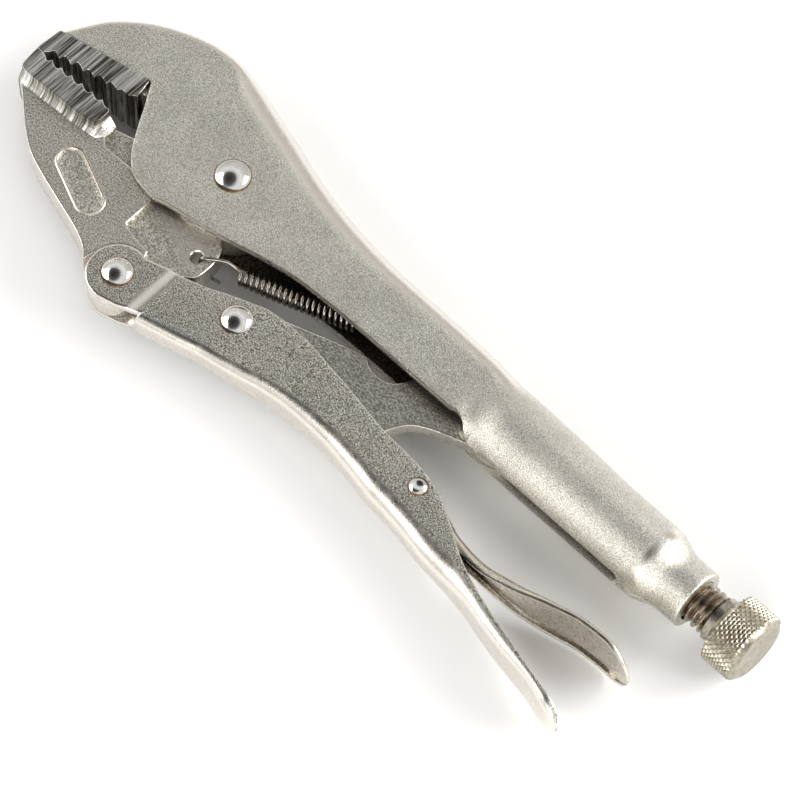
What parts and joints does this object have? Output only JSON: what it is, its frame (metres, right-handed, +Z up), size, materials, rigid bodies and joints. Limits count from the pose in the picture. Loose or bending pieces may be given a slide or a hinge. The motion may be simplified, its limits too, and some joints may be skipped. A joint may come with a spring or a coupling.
{
  "type": "locking pliers",
  "caption": "Locking pliers with straight serrated jaws, an over-centre toggle handle, a release lever and a knurled adjusting screw.",
  "frame": {"origin": "centre of the tool's box in X and Y, at the level of the flat surface that it lies on", "axes": "+X from the jaws along the adjusting screw to its knob, +Y from the lever to the back of the fixed handle, +Z up through the tool's thickness as it lies on its side"},
  "size_m": [0.2458, 0.0768, 0.0208],
  "materials": {
    "satin_nickel": "satin nickel plate, finely blasted",
    "forged_nickel": "satin nickel plate over a forging, pad sides ground",
    "warm_nickel": "bright nickel plate",
    "threaded_nickel": "bright nickel plate on a rolled thread",
    "knurled_nickel": "bright nickel plate on a diamond knurl",
    "polished_nickel": "polished nickel plate",
    "spring_steel": "dark drawn spring wire"
  },
  "bodies": {
    "fixed_handle": {"handle_body": "satin_nickel", "fixed_jaw": "forged_nickel", "main_rivet": "polished_nickel"},
    "jaw": {"moving_jaw": "forged_nickel", "tension_spring": "spring_steel"},
    "operating_lever": {"lever": "satin_nickel", "jaw_rivet": "polished_nickel", "link_rivet": "polished_nickel", "release_pin": "polished_nickel"},
    "link": {"toggle_link": "satin_nickel"},
    "release": {"release_lever": "warm_nickel"},
    "screw": {"adjusting_screw": "threaded_nickel"},
    "knob": {"screw_knob": "knurled_nickel"}
  },
  "joints": [
    {"name": "jaw_opening", "type": "hinge", "parent": "fixed_handle", "child": "jaw", "pos_m": [-0.0602, 0.01265, 0.0104], "axis": [0, 0, 1], "range_deg": [0, 14], "deforming": ["tension_spring"]},
    {"name": "lever_swing", "type": "hinge", "parent": "jaw", "child": "operating_lever", "pos_m": [-0.0621, -0.02645, 0.0104], "axis": [0, 0, 1], "range_deg": [-54, 0]},
    {"name": "link_fold", "type": "hinge", "parent": "operating_lever", "child": "link", "pos_m": [-0.0312, -0.01465, 0.0104], "axis": [0, 0, 1], "range_deg": [0, 57]},
    {"name": "release_press", "type": "hinge", "parent": "operating_lever", "child": "release", "pos_m": [0.0344, -0.01645, 0.0104], "axis": [0, 0, 1], "range_deg": [-6, 0]},
    {"name": "screw_travel", "type": "slide", "parent": "fixed_handle", "child": "screw", "axis": [1, 0, 0], "range_m": [0, 0.004]},
    {"name": "knob_turn", "type": "hinge", "parent": "screw", "child": "knob", "pos_m": [0.1168, 0.01155, 0.0104], "axis": [1, 0, 0], "range_deg": [0, 722]}
  ],
  "couplings": [
    {"joint": "lever_swing", "follows": "jaw_opening", "ratio": -3.75},
    {"joint": "link_fold", "follows": "jaw_opening", "ratio": 3.95},
    {"joint": "knob_turn", "follows": "screw_travel", "rad_per_m": 3141.6}
  ]
}
